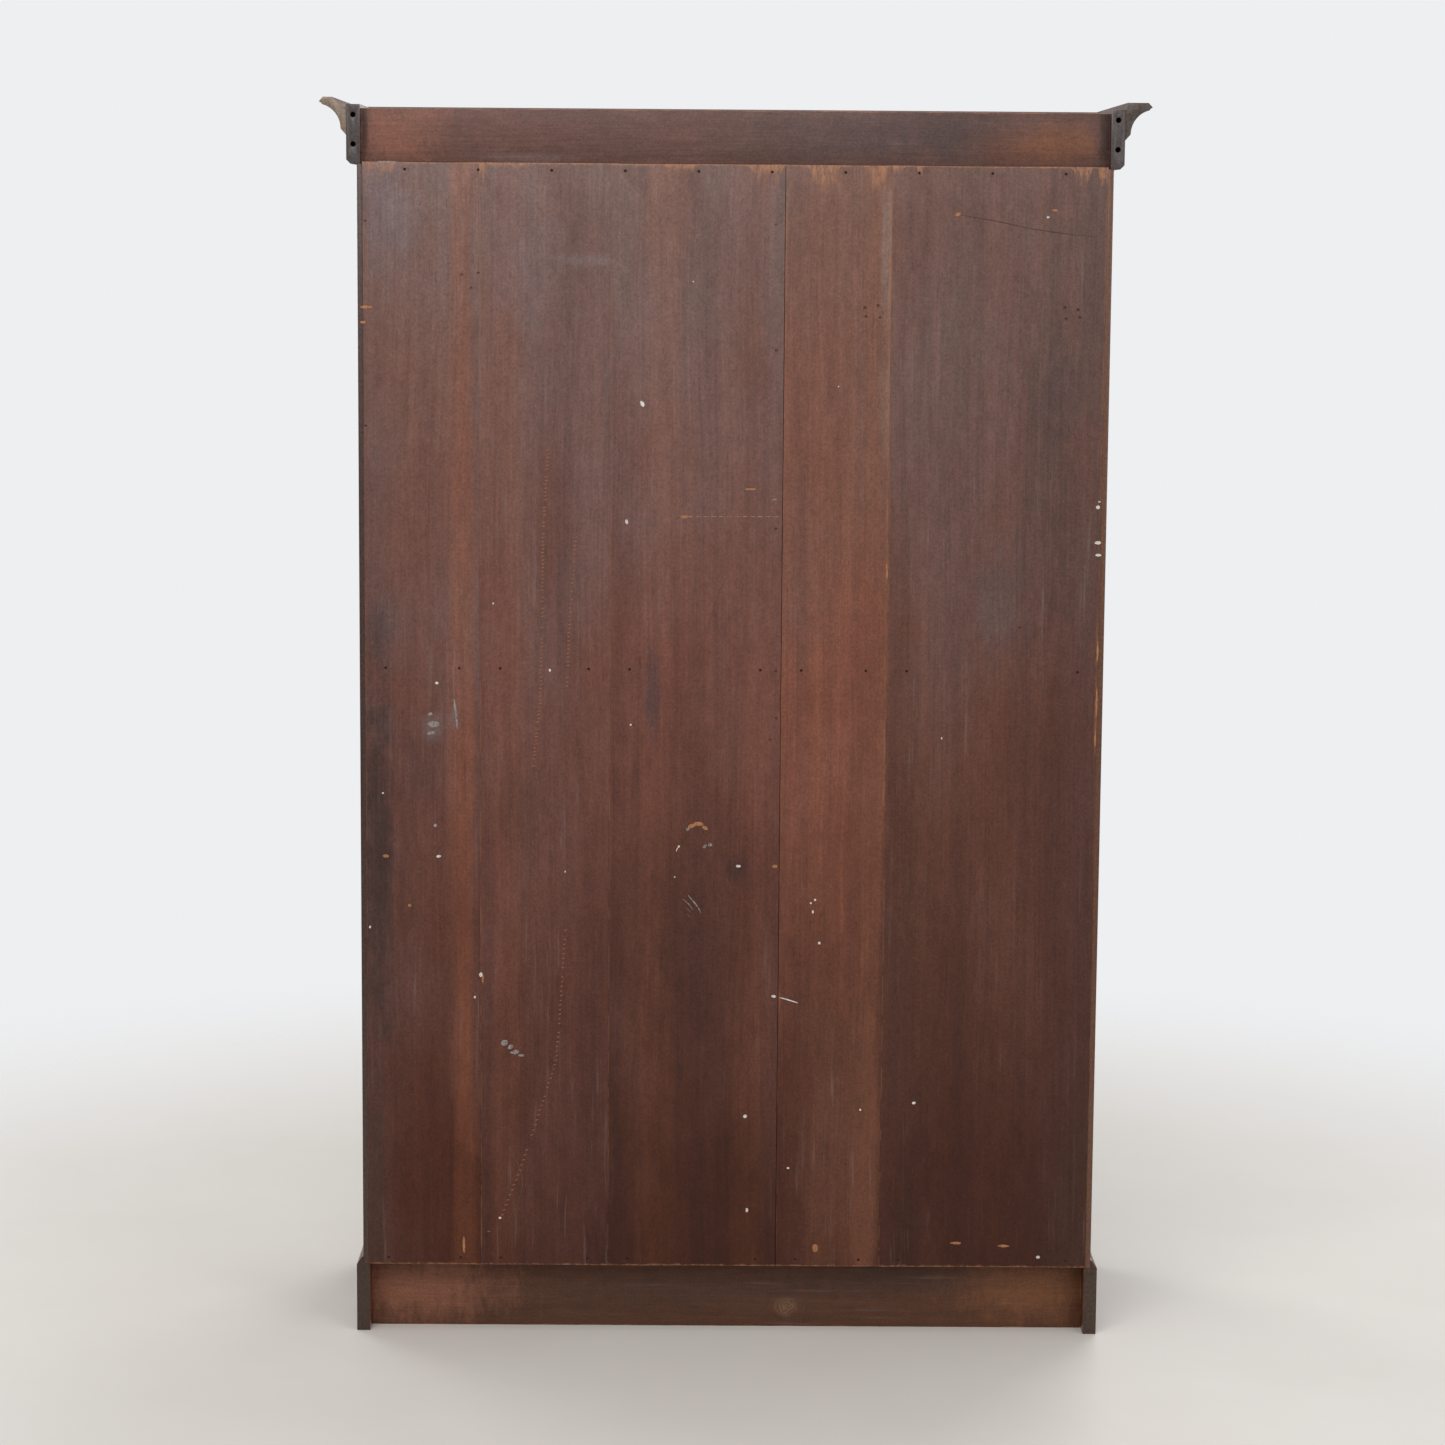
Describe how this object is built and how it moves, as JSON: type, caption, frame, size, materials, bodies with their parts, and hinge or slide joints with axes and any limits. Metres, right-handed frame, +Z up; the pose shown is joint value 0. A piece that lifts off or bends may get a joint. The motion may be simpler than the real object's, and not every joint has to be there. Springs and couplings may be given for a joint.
{
  "type": "display cabinet",
  "caption": "Tall two-door glazed display cabinet on a bevelled plinth, with a coved cornice, a boarded back, and shelves on notched racks.",
  "frame": {"origin": "on the floor, under the middle of the cabinet's outer box", "axes": "+Z up, +X to the right and -Y to the front as one faces the doors"},
  "size_m": [1.2, 0.434, 1.83],
  "materials": {
    "mahogany": "worn french polish",
    "back_boards": "old dull stain, worn to bare wood along the edges",
    "secondary_wood": "rough sawn and stained with age",
    "brass": "aged, rubbed bright where it is handled",
    "steel": "dull and slightly rusted",
    "glass": "clear old window glass"
  },
  "bodies": {
    "case": {"plinth_front": "mahogany", "plinth_side_left": "mahogany", "plinth_side_right": "mahogany", "plinth_back": "secondary_wood", "glue_blocks": "secondary_wood", "side_left": "mahogany", "side_right": "mahogany", "case_top": "mahogany", "case_bottom": "mahogany", "frame_stile_left": "mahogany", "frame_stile_right": "mahogany", "frame_rail_top": "mahogany", "back_board_1": "back_boards", "back_board_2": "back_boards", "back_board_3": "back_boards", "back_board_4": "back_boards", "back_board_5": "back_boards", "back_nails": "steel", "shelf_fixed": "mahogany", "shelf_lower": "mahogany", "shelf_middle": "mahogany", "shelf_upper": "mahogany", "shelf_racks": "secondary_wood", "shelf_rests": "secondary_wood", "frieze_front": "mahogany", "frieze_side_left": "mahogany", "frieze_side_right": "mahogany", "cornice_back_rail": "secondary_wood", "crown_front": "mahogany", "crown_side_left": "mahogany", "crown_side_right": "mahogany", "hinge_leaves_case": "brass", "hinge_pins": "brass", "hinge_screws": "brass"},
    "door_left": {"door_left_hinge_stile": "mahogany", "door_left_meeting_stile": "mahogany", "door_left_top_rail": "mahogany", "door_left_bottom_rail": "mahogany", "door_left_glazing_bars": "mahogany", "door_left_glass": "glass", "door_left_glazing_beads": "mahogany", "door_left_knob": "brass", "hinge_leaves_door_left": "brass", "strike_plate": "brass", "bolt_guides": "brass"},
    "door_right": {"door_right_hinge_stile": "mahogany", "door_right_meeting_stile": "mahogany", "door_right_top_rail": "mahogany", "door_right_bottom_rail": "mahogany", "door_right_glazing_bars": "mahogany", "door_right_glass": "glass", "door_right_glazing_beads": "mahogany", "door_right_knob": "brass", "hinge_leaves_door_right": "brass", "lock_case": "steel", "escutcheon": "brass"},
    "key": {"key": "steel"},
    "lock_bolt": {"lock_bolt": "brass"},
    "bolt_top": {"bolt_rod_top": "steel"},
    "bolt_bottom": {"bolt_rod_bottom": "steel"}
  },
  "joints": [
    {"name": "door_left_swing", "type": "hinge", "parent": "case", "child": "door_left", "pos_m": [-0.507, -0.167, 0.9105], "axis": [0, 0, -1], "range_deg": [0, 110]},
    {"name": "door_right_swing", "type": "hinge", "parent": "case", "child": "door_right", "pos_m": [0.507, -0.167, 0.9105], "axis": [0, 0, 1], "range_deg": [0, 110]},
    {"name": "key_turn", "type": "hinge", "parent": "door_right", "child": "key", "pos_m": [0.024, -0.17, 0.89], "axis": [0, -1, 0], "range_deg": [0, 180]},
    {"name": "lock_bolt_slide", "type": "slide", "parent": "door_right", "child": "lock_bolt", "axis": [-1, 0, 0], "range_m": [0, 0.01]},
    {"name": "bolt_top_slide", "type": "slide", "parent": "door_left", "child": "bolt_top", "axis": [0, 0, 1], "range_m": [0, 0.012]},
    {"name": "bolt_bottom_slide", "type": "slide", "parent": "door_left", "child": "bolt_bottom", "axis": [0, 0, -1], "range_m": [0, 0.012]}
  ],
  "couplings": [
    {"joint": "key_turn", "follows": "lock_bolt_slide", "rad_per_m": 314.15}
  ]
}
